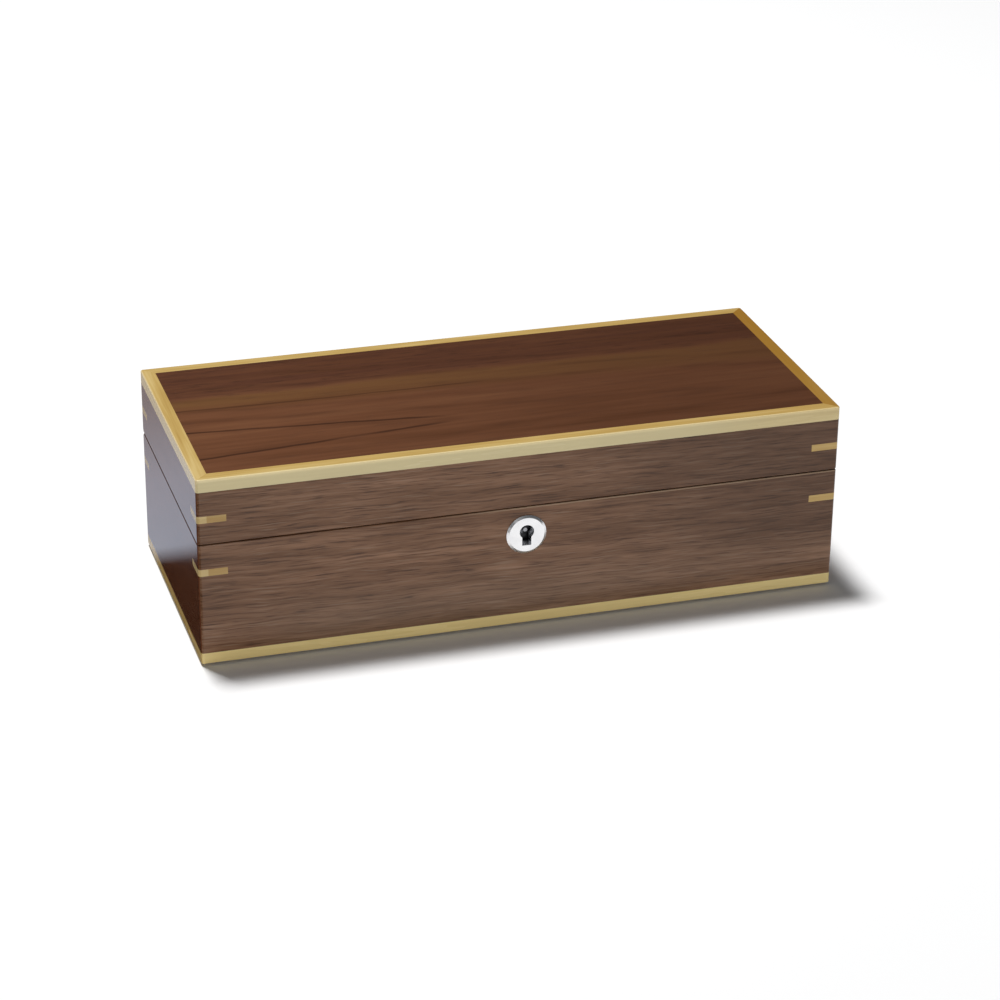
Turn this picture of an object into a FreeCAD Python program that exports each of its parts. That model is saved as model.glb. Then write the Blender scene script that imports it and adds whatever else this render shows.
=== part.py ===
import FreeCAD, Part
import math
import os

# A long watch box for one row of five watches, in millimetres.
# Walnut walls meet in mitres that are locked by pale corner keys. The top and the bottom are panels
# lipped with pale edging. The lid turns on two butt hinges let into bevelled back rims, the bevels
# stop it leaning back, and a box lock in the front wall holds it down by two staples.
# X runs along the box, Y from front to back, Z up from the table. The origin is the middle of the underside.

# Case
case_length = 320.0
case_depth = 137.0
case_height = 96.8
wall = 10.0
corner_round = 1.5
arris_round = 0.6
seam_height = 63.4
seam_gap = 0.4

# Pale edging round the top and bottom panels, and the felt under the box
lid_edging_width = 6.5
lid_edging_height = 6.5
base_edging_width = 6.5
base_edging_height = 5.6
felt_thickness = 1.0
felt_inset = 3.0

# Corner keys, let in across the mitres
key_thickness = 3.5
key_leg = 14.0
lid_key_below_middle = 0.6
base_key_below_seam = 14.4

# Linings, dividers and cushions
lining_thickness = 2.5
lip_height = 3.0
lip_gap = 0.5
lid_lining_clearance = 1.8
floor_lining_thickness = 1.5
divider_thickness = 4.0
divider_below_rim = 6.0
divider_tenon = 1.2
watch_count = 5
cushion_side_gap = 1.2
cushion_depth = 84.0
cushion_height = 43.0
cushion_foot = 52.0
cushion_belly_share = 0.42
cushion_shoulder_share = 0.88
cushion_draw = 0.13
lid_pad_thickness = 5.5
lid_pad_crown_inset = 14.0
lid_pad_gap = 0.3

# Hinges
hinge_length = 32.0
hinge_from_end = 65.0
knuckle_count = 5
knuckle_gap = 0.2
barrel_radius = 2.1
barrel_clearance = 0.3
pin_radius = 1.0
pin_clearance = 0.05
leaf_land = 1.0
leaf_thickness = 1.2
leaf_fit = 0.15
hinge_screw_spacing = 19.2
bevel_depth = 3.0
lid_open_angle = 98.0
stop_clearance_angle = 2.0

# Screws
screw_head_radius = 1.5
screw_shank_radius = 0.8
screw_length = 7.0
screw_tip = 1.6
recess_width = 0.45
recess_length = 1.7
recess_depth = 0.5

# Lock
lock_depth = 7.0
sheet_thickness = 1.0
selvedge_thickness = 1.5
selvedge_overhang = 5.0
plate_gap = 0.05
bolt_thickness = 1.6
bolt_travel = 5.0
bolt_clearance = 0.4
bolt_bar_height = 4.0
bolt_reach = 13.0
bolt_end_land = 1.5
arm_width = 3.0
tongue_height = 2.6
tongue_tip_gap = 0.6
talon_width = 5.0
talon_depth = 1.4
rivet_radius = 0.7
rivet_clearance = 0.05
staple_spacing = 16.0
staple_thickness = 2.0
staple_foot = 1.8
staple_leg = 0.85
spring_thickness = 0.3
spring_span = 11.0
spring_width = 2.6
spring_clearance = 0.04
drill_pin_radius = 1.0
drill_pin_clearance = 0.8
drill_pin_recess = 1.5

# Keyhole and its escutcheon
keyhole_radius = 3.6
keyhole_slot = 4.6
keyhole_drop = 7.1
keyhole_above_centre = 1.5
keyhole_margin = 2.0
escutcheon_radius = 10.0
escutcheon_proud = 1.2
escutcheon_bevel = 1.2
escutcheon_rim = 0.5
collar_wall = 1.0

# Places that follow from the sizes above
half_length = case_length / 2
half_depth = case_depth / 2
base_rim = seam_height - seam_gap / 2
lid_rim = seam_height + seam_gap / 2
floor_top = felt_thickness + base_edging_height
roof = case_height - lid_edging_height
inner_half_length = half_length - wall
inner_half_depth = half_depth - wall
lined_half_length = inner_half_length - lining_thickness
lined_half_depth = inner_half_depth - lining_thickness
lip_top = base_rim + lip_height
cushion_floor = floor_top + floor_lining_thickness
divider_top = base_rim - divider_below_rim
compartment = (2 * lined_half_length - (watch_count - 1) * divider_thickness) / watch_count
axis_y = half_depth - bevel_depth
leaf_width = wall - bevel_depth - leaf_land
bevel_slope = math.tan(math.radians((lid_open_angle + stop_clearance_angle) / 2))

# The lock is stacked down from its selvedge, so the keyhole follows from the pieces above it
lock_front = -half_depth + wall - lock_depth
lock_back = -half_depth + wall
lock_mid = (lock_front + lock_back) / 2
cavity_depth = lock_depth - 2 * sheet_thickness
selvedge_top = seam_height - plate_gap / 2
selvedge_low = selvedge_top - selvedge_thickness
strike_low = seam_height + plate_gap / 2
tongue_top = selvedge_low - bolt_clearance
tongue_low = tongue_top - tongue_height
window_low = tongue_low - bolt_clearance
window_top = tongue_top + bolt_clearance
staple_low = window_low - staple_foot
staple_width = cavity_depth - 2 * bolt_clearance
window_width = staple_width - 2 * staple_leg
bar_top = staple_low - bolt_clearance
bar_low = bar_top - bolt_bar_height
bar_mid = (bar_top + bar_low) / 2
keyhole_height = bar_low - drill_pin_clearance - drill_pin_radius
escutcheon_height = keyhole_height - keyhole_above_centre
lock_low = keyhole_height - keyhole_drop - keyhole_margin - sheet_thickness
staple_places = (-staple_spacing / 2, staple_spacing / 2)
arm_right_offset = -staple_thickness / 2 - bolt_clearance - bolt_travel
bar_left = staple_places[0] + arm_right_offset - arm_width
lock_half_width = max(-bar_left, bolt_reach + bolt_travel) + tongue_tip_gap + sheet_thickness
selvedge_half_length = lock_half_width + selvedge_overhang
plate_screw_x = selvedge_half_length - selvedge_overhang / 2
rivet_places = (
    bar_left + bolt_end_land + rivet_radius + bolt_travel,
    bolt_reach - bolt_end_land - rivet_radius,
)
collar_radius = math.hypot(keyhole_slot / 2, keyhole_drop - keyhole_above_centre) + collar_wall

outside = 5.0  # how far a cutting tool runs past the face that it cuts


def vec(x, y, z):
    return FreeCAD.Vector(x, y, z)


def block(x0, x1, y0, y1, z0, z1):
    return Part.makeBox(x1 - x0, y1 - y0, z1 - z0, vec(x0, y0, z0))


def centred_block(half_x, half_y, z0, z1, x=0, y=0):
    return block(x - half_x, x + half_x, y - half_y, y + half_y, z0, z1)


def rod_along_x(x0, x1, radius, y, z):
    return Part.makeCylinder(radius, x1 - x0, vec(x0, y, z), vec(1, 0, 0))


def rod_along_y(y0, y1, radius, x, z):
    return Part.makeCylinder(radius, y1 - y0, vec(x, y0, z), vec(0, 1, 0))


def prism(points, run):
    return Part.Face(Part.makePolygon(points + points[:1])).extrude(run)


def turned(shape, degrees):
    copy = shape.copy()
    copy.rotate(vec(0, 0, 0), vec(0, 0, 1), degrees)
    return copy


def four_sides(make_front, half_x, half_y):
    # make_front(half run, half across) gives the length that lies along the front
    return {
        "front": make_front(half_x, half_y),
        "right": turned(make_front(half_y, half_x), 90),
        "back": turned(make_front(half_x, half_y), 180),
        "left": turned(make_front(half_y, half_x), 270),
    }


def mitred_length(half_run, half_across, width, z0, z1):
    plan = [
        vec(-half_run, -half_across, z0),
        vec(half_run, -half_across, z0),
        vec(half_run - width, -half_across + width, z0),
        vec(-half_run + width, -half_across + width, z0),
    ]
    return prism(plan, vec(0, 0, z1 - z0))


def mitred_frame(half_x, half_y, width, z0, z1):
    return four_sides(lambda run, across: mitred_length(run, across, width, z0, z1), half_x, half_y)


def rounded_case(z0, z1):
    # The outside of the lid or of the base, which every piece at its surface is trimmed to
    body = centred_block(half_length, half_depth, z0, z1)
    upright = [e for e in body.Edges if abs(e.BoundBox.ZLength - (z1 - z0)) < 1e-6]
    body = body.makeFillet(corner_round, upright)
    arrises = [e for e in body.Edges if e.BoundBox.ZLength < 1e-6]
    return body.makeFillet(min(arris_round, corner_round * 0.9), arrises)


def back_bevel(sign):
    # The wedge cut from the back rim: sign is -1 for the base and 1 for the lid
    reach = bevel_depth + outside
    points = [
        vec(-half_length - outside, axis_y, seam_height),
        vec(-half_length - outside, axis_y + reach, seam_height + sign * reach * bevel_slope),
        vec(-half_length - outside, axis_y + reach, seam_height - sign * outside),
        vec(-half_length - outside, axis_y, seam_height - sign * outside),
    ]
    return prism(points, vec(case_length + 2 * outside, 0, 0))


def corner_keys(middle):
    keys = []
    for side_x in (-1, 1):
        for side_y in (-1, 1):
            x, y, z = side_x * half_length, side_y * half_depth, middle - key_thickness / 2
            plan = [vec(x, y, z), vec(x - side_x * key_leg, y, z), vec(x, y - side_y * key_leg, z)]
            keys.append(prism(plan, vec(0, 0, key_thickness)))
    return Part.makeCompound(keys)


# Screws

def screw_blank(x, y, z, up):
    # A countersunk wood screw without its recess: its head is flush at z, and it points up or down
    head_height = screw_head_radius - screw_shank_radius
    profile = [
        vec(0, 0, 0),
        vec(screw_head_radius, 0, 0),
        vec(screw_shank_radius, 0, head_height),
        vec(screw_shank_radius, 0, screw_length - screw_tip),
        vec(0, 0, screw_length),
    ]
    screw = Part.Face(Part.makePolygon(profile + profile[:1])).revolve(vec(0, 0, 0), vec(0, 0, 1), 360)
    if not up:
        screw.rotate(vec(0, 0, 0), vec(1, 0, 0), 180)
    screw.translate(vec(x, y, z))
    return screw


def screw(x, y, z, up):
    half, wide = recess_length / 2, recess_width / 2
    cross = centred_block(half, wide, -recess_depth, recess_depth)
    cross = cross.fuse(centred_block(wide, half, -recess_depth, recess_depth))
    cross.translate(vec(x, y, z))
    return screw_blank(x, y, z, up).cut(cross)


# Hinges

def knuckle_span(hinge_x, index, gap):
    pitch = hinge_length / knuckle_count
    start = hinge_x - hinge_length / 2 + index * pitch
    return start + gap / 2, start + pitch - gap / 2


def hinge_screw_places(hinge_x):
    y = axis_y - (leaf_width + barrel_radius + barrel_clearance) / 2
    return [(hinge_x + side * hinge_screw_spacing / 2, y) for side in (-1, 1)]


def hinge_screws(z, up):
    places = [place for hinge_x in hinge_places.values() for place in hinge_screw_places(hinge_x)]
    return Part.makeCompound([screw(x, y, z, up) for x, y in places])


def hinge_leaf(hinge_x, z0, z1, own_parity, bore, screws):
    # A flat leaf with every second knuckle, cut clear of the other leaf's knuckles
    leaf = block(hinge_x - hinge_length / 2, hinge_x + hinge_length / 2, axis_y - leaf_width, axis_y, z0, z1)
    for index in range(knuckle_count):
        own = index % 2 == own_parity
        if own:
            x0, x1 = knuckle_span(hinge_x, index, knuckle_gap)
            leaf = leaf.fuse(rod_along_x(x0, x1, barrel_radius, axis_y, seam_height))
    for index in range(knuckle_count):
        if index % 2 != own_parity:
            x0, x1 = knuckle_span(hinge_x, index, -knuckle_gap)
            leaf = leaf.cut(rod_along_x(x0, x1, barrel_radius + barrel_clearance, axis_y, seam_height))
    ends = hinge_length / 2 + outside
    leaf = leaf.cut(rod_along_x(hinge_x - ends, hinge_x + ends, bore, axis_y, seam_height))
    for tool in screws:
        leaf = leaf.cut(tool)
    return leaf.removeSplitter()


def hinge_mortise(hinge_x, z0, z1):
    # The pocket for a leaf, with a round trough for the barrel
    x0 = hinge_x - hinge_length / 2 - leaf_fit
    x1 = hinge_x + hinge_length / 2 + leaf_fit
    trough = rod_along_x(x0, x1, barrel_radius + barrel_clearance, axis_y, seam_height)
    return block(x0, x1, axis_y - leaf_width - leaf_fit, axis_y, z0, z1).fuse(trough)


hinge_places = {"left": hinge_from_end - half_length, "right": half_length - hinge_from_end}


def hinge_pins():
    pins = [
        rod_along_x(x - hinge_length / 2, x + hinge_length / 2, pin_radius, axis_y, seam_height)
        for x in hinge_places.values()
    ]
    return Part.makeCompound(pins)


# Lock

def keyhole_tool(y0, y1):
    slot_low = keyhole_height - keyhole_drop
    slot = block(-keyhole_slot / 2, keyhole_slot / 2, y0, y1, slot_low, keyhole_height)
    return rod_along_y(y0, y1, keyhole_radius, 0, keyhole_height).fuse(slot)


def plate_screw_places():
    return [(-plate_screw_x, lock_mid), (plate_screw_x, lock_mid)]


def lock_case():
    # A folded sheet box, open to the back, under the selvedge plate that shows in the rim
    half, inner_half = lock_half_width, lock_half_width - sheet_thickness
    inner_front, inner_back = lock_front + sheet_thickness, lock_back - sheet_thickness
    shell = block(-half, half, lock_front, inner_back, lock_low, selvedge_low)
    hollow = block(-inner_half, inner_half, inner_front, lock_back, lock_low + sheet_thickness, selvedge_low)
    selvedge = centred_block(selvedge_half_length, lock_depth / 2, selvedge_low, selvedge_top, y=lock_mid)
    case = shell.cut(hollow).fuse(selvedge)
    half_x = staple_thickness / 2 + bolt_clearance
    half_y = staple_width / 2 + bolt_clearance
    for x in staple_places:
        slot = centred_block(half_x, half_y, selvedge_low - outside, selvedge_top + outside, x, lock_mid)
        case = case.cut(slot)
    case = case.cut(keyhole_tool(lock_front - outside, lock_front + sheet_thickness))
    for x, y in plate_screw_places():
        case = case.cut(screw_blank(x, y, selvedge_top, False))
    return case.removeSplitter()


def lock_cap():
    half = lock_half_width
    return block(-half, half, lock_back - sheet_thickness, lock_back, lock_low, selvedge_low)


def lock_rivets():
    y0 = lock_front + sheet_thickness
    rivets = [rod_along_y(y0, y0 + cavity_depth, rivet_radius, x, bar_mid) for x in rivet_places]
    return Part.makeCompound(rivets)


def lock_bolt():
    # A bar on two slots, with an arm and a tongue for each staple and a talon for the key
    y0, y1 = lock_mid - bolt_thickness / 2, lock_mid + bolt_thickness / 2
    bolt = block(bar_left, bolt_reach, y0, y1, bar_low, bar_top)
    for x in staple_places:
        arm_right = x + arm_right_offset
        tongue_tip = x - staple_thickness / 2 - tongue_tip_gap
        bolt = bolt.fuse(block(arm_right - arm_width, arm_right, y0, y1, bar_top, tongue_top))
        bolt = bolt.fuse(block(arm_right, tongue_tip, y0, y1, tongue_low, tongue_top))
    slot_radius = rivet_radius + rivet_clearance
    for x in rivet_places:
        slot = block(x - bolt_travel, x, y0, y1, bar_mid - slot_radius, bar_mid + slot_radius)
        for end in (x - bolt_travel, x):
            slot = slot.fuse(rod_along_y(y0, y1, slot_radius, end, bar_mid))
        bolt = bolt.cut(slot)
    talon_top = bar_low + talon_depth
    talon = centred_block(talon_width / 2, bolt_thickness, bar_low, talon_top, -bolt_travel / 2, lock_mid)
    return bolt.cut(talon).removeSplitter()


def lock_spring():
    # A bowed strip between the bolt and the cap, which keeps the bolt where the key leaves it
    foot = lock_back - sheet_thickness
    rise = foot - (lock_mid + bolt_thickness / 2) - spring_clearance
    middle = (rivet_places[0] + rivet_places[1]) / 2 - bolt_travel / 2
    half, inner_half = spring_span / 2, spring_span / 2 - spring_thickness

    def at(along, out):
        return vec(middle + along, foot - out, bar_mid - spring_width / 2)

    edges = [
        Part.Arc(at(-half, 0), at(0, rise), at(half, 0)).toShape(),
        Part.makeLine(at(half, 0), at(inner_half, 0)),
        Part.Arc(at(inner_half, 0), at(0, rise - spring_thickness), at(-inner_half, 0)).toShape(),
        Part.makeLine(at(-inner_half, 0), at(-half, 0)),
    ]
    return Part.Face(Part.Wire(edges)).extrude(vec(0, 0, spring_width))


def lock_drill_pin():
    tip = -half_depth + drill_pin_recess
    return rod_along_y(tip, lock_back - sheet_thickness, drill_pin_radius, 0, keyhole_height)


def lock_strike():
    # The plate in the lid's rim, with two staples that drop into the lock
    strike_top = strike_low + selvedge_thickness
    plate = centred_block(selvedge_half_length, lock_depth / 2, strike_low, strike_top, y=lock_mid)
    half_x = staple_thickness / 2
    for x in staple_places:
        loop = centred_block(half_x, staple_width / 2, staple_low, strike_low, x, lock_mid)
        window = centred_block(half_x, window_width / 2, window_low, window_top, x, lock_mid)
        plate = plate.fuse(loop.cut(window))
    for x, y in plate_screw_places():
        plate = plate.cut(screw_blank(x, y, strike_low, True))
    return plate.removeSplitter()


def escutcheon():
    # A bevelled disc on the front with a collar that fills the hole in the wall
    face = -half_depth
    profile = [
        vec(0, face - escutcheon_proud, 0),
        vec(escutcheon_radius - escutcheon_bevel, face - escutcheon_proud, 0),
        vec(escutcheon_radius, face - escutcheon_rim, 0),
        vec(escutcheon_radius, face, 0),
        vec(collar_radius, face, 0),
        vec(collar_radius, lock_front, 0),
        vec(0, lock_front, 0),
    ]
    disc = Part.Face(Part.makePolygon(profile + profile[:1])).revolve(vec(0, 0, 0), vec(0, 1, 0), 360)
    disc.translate(vec(0, 0, escutcheon_height))
    return disc.cut(keyhole_tool(face - outside, lock_front))


def lock_mortise():
    # The pocket in the front wall for the case and the selvedge, and the hole for the collar
    pocket = block(-lock_half_width, lock_half_width, lock_front, lock_back, lock_low, base_rim)
    rebate = centred_block(selvedge_half_length, lock_depth / 2, selvedge_low, base_rim, y=lock_mid)
    hole = rod_along_y(-half_depth - outside, lock_front, collar_radius, 0, escutcheon_height)
    return pocket.fuse(rebate).fuse(hole)


def strike_mortise():
    strike_top = strike_low + selvedge_thickness
    return centred_block(selvedge_half_length, lock_depth / 2, lid_rim, strike_top, y=lock_mid)


# Linings, dividers and cushions

def lining_length(half_run, half_across):
    # A covered board against the wall, stepped back where its rounded lip stands above the rim
    radius = (lining_thickness - lip_gap) / 2
    spring_line = lip_top - radius
    crest = lip_gap + radius
    x = -half_run
    face = -half_across

    def at(inward, height):
        return vec(x, face + inward, height)

    edges = [
        Part.makeLine(at(0, floor_top), at(0, base_rim)),
        Part.makeLine(at(0, base_rim), at(lip_gap, base_rim)),
        Part.makeLine(at(lip_gap, base_rim), at(lip_gap, spring_line)),
        Part.Arc(at(lip_gap, spring_line), at(crest, lip_top), at(lining_thickness, spring_line)).toShape(),
        Part.makeLine(at(lining_thickness, spring_line), at(lining_thickness, floor_top)),
        Part.makeLine(at(lining_thickness, floor_top), at(0, floor_top)),
    ]
    board = Part.Face(Part.Wire(edges)).extrude(vec(2 * half_run, 0, 0))
    return board.common(mitred_length(half_run, half_across, lining_thickness, floor_top, lip_top))


def divider_middles():
    pitch = compartment + divider_thickness
    first = -lined_half_length + compartment + divider_thickness / 2
    return [first + index * pitch for index in range(watch_count - 1)]


def divider(middle):
    # A covered board with a rounded top, tenoned into the front and back linings
    radius = divider_thickness / 2
    y0 = -lined_half_depth - divider_tenon
    left, right = middle - radius, middle + radius
    shoulder = divider_top - radius
    edges = [
        Part.makeLine(vec(left, y0, cushion_floor), vec(left, y0, shoulder)),
        Part.Arc(vec(left, y0, shoulder), vec(middle, y0, divider_top), vec(right, y0, shoulder)).toShape(),
        Part.makeLine(vec(right, y0, shoulder), vec(right, y0, cushion_floor)),
        Part.makeLine(vec(right, y0, cushion_floor), vec(left, y0, cushion_floor)),
    ]
    return Part.Face(Part.Wire(edges)).extrude(vec(0, -2 * y0, 0))


def arc_in_section(x, centre_y, centre_z, radius, start, end):
    # An arc across the box at x, with its angles in radians from +Y towards +Z
    def at(angle):
        return vec(x, centre_y + radius * math.cos(angle), centre_z + radius * math.sin(angle))

    return Part.Arc(at(start), at((start + end) / 2), at(end)).toShape()


def cushion_section(x, share):
    # A flat foot, round sides that are widest at the belly, and a crown that meets the shoulders smoothly
    half = cushion_depth / 2 * share
    foot = cushion_foot / 2 * share
    belly = cushion_height * cushion_belly_share * share
    rise = cushion_height * share - belly
    overhang = half - foot
    low_radius = (overhang ** 2 + belly ** 2) / (2 * overhang)
    low_angle = -math.asin(min(belly / low_radius, 1))
    shoulder_radius = cushion_shoulder_share * rise
    shoulder_y = half - shoulder_radius
    crown_radius = (shoulder_y ** 2 + rise ** 2 - shoulder_radius ** 2) / (2 * (rise - shoulder_radius))
    crown_angle = math.acos(shoulder_y / (crown_radius - shoulder_radius))
    middle_z = cushion_floor + belly
    crown_z = middle_z + rise - crown_radius
    right = math.pi
    edges = [
        Part.makeLine(vec(x, -foot, cushion_floor), vec(x, foot, cushion_floor)),
        arc_in_section(x, half - low_radius, middle_z, low_radius, low_angle, 0),
        arc_in_section(x, shoulder_y, middle_z, shoulder_radius, 0, crown_angle),
        arc_in_section(x, 0, crown_z, crown_radius, crown_angle, right - crown_angle),
        arc_in_section(x, -shoulder_y, middle_z, shoulder_radius, right - crown_angle, right),
        arc_in_section(x, low_radius - half, middle_z, low_radius, right, right - low_angle),
    ]
    return Part.Wire(edges)


def cushion(middle):
    half = compartment / 2 - cushion_side_gap
    sections = []
    for place in (-1, -0.7, 0, 0.7, 1):
        sections.append(cushion_section(middle + place * half, 1 - cushion_draw * place ** 4))
    return Part.makeLoft(sections, True, False)


def cushion_middles():
    pitch = compartment + divider_thickness
    return [-lined_half_length + compartment / 2 + index * pitch for index in range(watch_count)]


def lid_lining_length(half_run, half_across):
    low = lip_top + lid_lining_clearance
    return mitred_length(half_run, half_across, lining_thickness, low, roof)


def lid_pad():
    # A thin padded panel under the lid, crowned downwards
    half_x, half_y = lined_half_length - lid_pad_gap, lined_half_depth - lid_pad_gap
    levels = ((0.0, 0.0), (0.45, 0.0), (0.8, 0.22), (1.0, 1.0))
    sections = []
    for depth_share, inset_share in levels:
        inset = inset_share * lid_pad_crown_inset
        z = roof - depth_share * lid_pad_thickness
        x, y = half_x - inset, half_y - inset
        corners = [vec(-x, -y, z), vec(x, -y, z), vec(x, y, z), vec(-x, y, z)]
        sections.append(Part.makePolygon(corners + corners[:1]))
    return Part.makeLoft(sections, True, True)


def felt_sheet():
    sheet = centred_block(half_length - felt_inset, half_depth - felt_inset, 0, felt_thickness)
    upright = [e for e in sheet.Edges if abs(e.BoundBox.ZLength - felt_thickness) < 1e-6]
    return sheet.makeFillet(corner_round, upright)


# Assembly

def base_pieces():
    outside_shape = rounded_case(felt_thickness, base_rim)
    keys = corner_keys(seam_height - base_key_below_seam)
    edging = mitred_frame(half_length, half_depth, base_edging_width, felt_thickness, floor_top)
    walls = mitred_frame(half_length, half_depth, wall, floor_top, base_rim)
    linings = four_sides(lining_length, inner_half_length, inner_half_depth)
    panel_x, panel_y = half_length - base_edging_width, half_depth - base_edging_width
    dividers = [divider(x) for x in divider_middles()]

    walls["front"] = walls["front"].cut(lock_mortise())
    for x, y in plate_screw_places():
        walls["front"] = walls["front"].cut(screw_blank(x, y, selvedge_top, False))

    leaves = {}
    for side, hinge_x in hinge_places.items():
        screws = [screw_blank(x, y, base_rim, False) for x, y in hinge_screw_places(hinge_x)]
        leaf_low = base_rim - leaf_thickness
        leaves[f"hinge_{side}_base_leaf"] = hinge_leaf(hinge_x, leaf_low, base_rim, 0, pin_radius, screws)
        walls["back"] = walls["back"].cut(hinge_mortise(hinge_x, leaf_low, base_rim + outside))
        for tool in screws:
            walls["back"] = walls["back"].cut(tool)

    for side in ("front", "back"):
        for board in dividers:
            linings[side] = linings[side].cut(board)

    pieces = {
        "base_bottom_panel": centred_block(panel_x, panel_y, felt_thickness, floor_top),
        "base_felt": felt_sheet(),
        "base_corner_keys": keys.common(outside_shape),
        "floor_lining": centred_block(lined_half_length, lined_half_depth, floor_top, cushion_floor),
        "hinge_pins": hinge_pins(),
        "hinge_base_screws": hinge_screws(base_rim, False),
        "keyhole_escutcheon": escutcheon(),
        "lock_case": lock_case(),
        "lock_cap": lock_cap(),
        "lock_rivets": lock_rivets(),
        "lock_spring": lock_spring(),
        "lock_drill_pin": lock_drill_pin(),
        "lock_screws": Part.makeCompound([screw(x, y, selvedge_top, False) for x, y in plate_screw_places()]),
    }
    pieces.update(leaves)
    for side in ("front", "right", "back", "left"):
        trimmed = walls[side].cut(keys).cut(back_bevel(-1))
        pieces[f"base_{side}_wall"] = trimmed.common(outside_shape).removeSplitter()
        pieces[f"base_edging_{side}"] = edging[side].common(outside_shape)
        pieces[f"base_lining_{side}"] = linings[side]
    for index, board in enumerate(dividers):
        pieces[f"divider_{index + 1}"] = board
    for index, middle in enumerate(cushion_middles()):
        pieces[f"watch_cushion_{index + 1}"] = cushion(middle)
    return pieces


def lid_pieces():
    outside_shape = rounded_case(lid_rim, case_height)
    keys = corner_keys((lid_rim + roof) / 2 - lid_key_below_middle)
    edging = mitred_frame(half_length, half_depth, lid_edging_width, roof, case_height)
    walls = mitred_frame(half_length, half_depth, wall, lid_rim, roof)
    linings = four_sides(lid_lining_length, inner_half_length, inner_half_depth)
    panel_x, panel_y = half_length - lid_edging_width, half_depth - lid_edging_width

    walls["front"] = walls["front"].cut(strike_mortise())
    for x, y in plate_screw_places():
        walls["front"] = walls["front"].cut(screw_blank(x, y, strike_low, True))

    leaves = {}
    bore = pin_radius + pin_clearance
    for side, hinge_x in hinge_places.items():
        screws = [screw_blank(x, y, lid_rim, True) for x, y in hinge_screw_places(hinge_x)]
        leaf_top = lid_rim + leaf_thickness
        leaves[f"hinge_{side}_lid_leaf"] = hinge_leaf(hinge_x, lid_rim, leaf_top, 1, bore, screws)
        walls["back"] = walls["back"].cut(hinge_mortise(hinge_x, lid_rim - outside, leaf_top))
        for tool in screws:
            walls["back"] = walls["back"].cut(tool)

    pieces = {
        "lid_panel": centred_block(panel_x, panel_y, roof, case_height),
        "lid_corner_keys": keys.common(outside_shape),
        "lid_pad": lid_pad(),
        "hinge_lid_screws": hinge_screws(lid_rim, True),
        "lock_strike": lock_strike(),
        "strike_screws": Part.makeCompound([screw(x, y, strike_low, True) for x, y in plate_screw_places()]),
    }
    pieces.update(leaves)
    for side in ("front", "right", "back", "left"):
        trimmed = walls[side].cut(keys).cut(back_bevel(1))
        pieces[f"lid_{side}_wall"] = trimmed.common(outside_shape).removeSplitter()
        pieces[f"lid_edging_{side}"] = edging[side].common(outside_shape)
        pieces[f"lid_lining_{side}"] = linings[side]
    return pieces


def main():
    os.makedirs("parts", exist_ok=True)
    pieces = base_pieces()
    pieces["lock_bolt"] = lock_bolt()
    pieces.update(lid_pieces())
    for name, shape in pieces.items():
        shape.exportStep(f"parts/{name}.step")
    print(f"{len(pieces)} pieces, keyhole at {keyhole_height:.2f} mm, compartments {compartment:.2f} mm wide")


main()
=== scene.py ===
import bpy
import bmesh
import math
from mathutils import Matrix, Vector


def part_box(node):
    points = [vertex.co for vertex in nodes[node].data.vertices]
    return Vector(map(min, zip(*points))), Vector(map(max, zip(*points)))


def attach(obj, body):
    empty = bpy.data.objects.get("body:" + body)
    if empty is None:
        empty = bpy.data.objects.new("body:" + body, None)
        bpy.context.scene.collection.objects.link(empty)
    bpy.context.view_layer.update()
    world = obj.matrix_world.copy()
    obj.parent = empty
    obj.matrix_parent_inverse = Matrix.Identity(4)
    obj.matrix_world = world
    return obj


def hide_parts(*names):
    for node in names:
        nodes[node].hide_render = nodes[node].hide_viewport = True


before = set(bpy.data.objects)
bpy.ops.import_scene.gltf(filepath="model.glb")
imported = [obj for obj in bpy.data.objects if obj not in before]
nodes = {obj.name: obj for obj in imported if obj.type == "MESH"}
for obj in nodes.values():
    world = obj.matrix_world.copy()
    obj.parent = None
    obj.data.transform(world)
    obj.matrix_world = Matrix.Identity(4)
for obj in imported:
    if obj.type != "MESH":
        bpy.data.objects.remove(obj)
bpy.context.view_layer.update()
print("frame loaded:", len(nodes), "nodes")


# shader maths: a socket that takes part in sums

class Sock:
    def __init__(self, finish, link):
        self.finish = finish
        self.link = link

    def math(self, operation, other=0.0, swap=False):
        pair = {0: other, 1: self} if swap else {0: self, 1: other}
        return self.finish.node("ShaderNodeMath", {"operation": operation}, pair)

    def __add__(self, other):
        return self.math("ADD", other)

    def __sub__(self, other):
        return self.math("SUBTRACT", other)

    def __rsub__(self, other):
        return self.math("SUBTRACT", other, True)

    def __mul__(self, other):
        return self.math("MULTIPLY", other)

    def __truediv__(self, other):
        return self.math("DIVIDE", other)

    def __pow__(self, other):
        return self.math("POWER", other)

    def sqrt(self):
        return self.math("SQRT")

    def cosine(self):
        return self.math("COSINE")

    def absolute(self):
        return self.math("ABSOLUTE")

    def scaled(self, base, gain):  # base, plus gain times the value
        return self * gain + base

    def step(self, low, high):  # smooth rise from 0 at low to 1 at high
        values = {"Value": self, "From Min": low, "From Max": high}
        return self.finish.node("ShaderNodeMapRange", {"interpolation_type": "SMOOTHSTEP"}, values)


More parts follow.
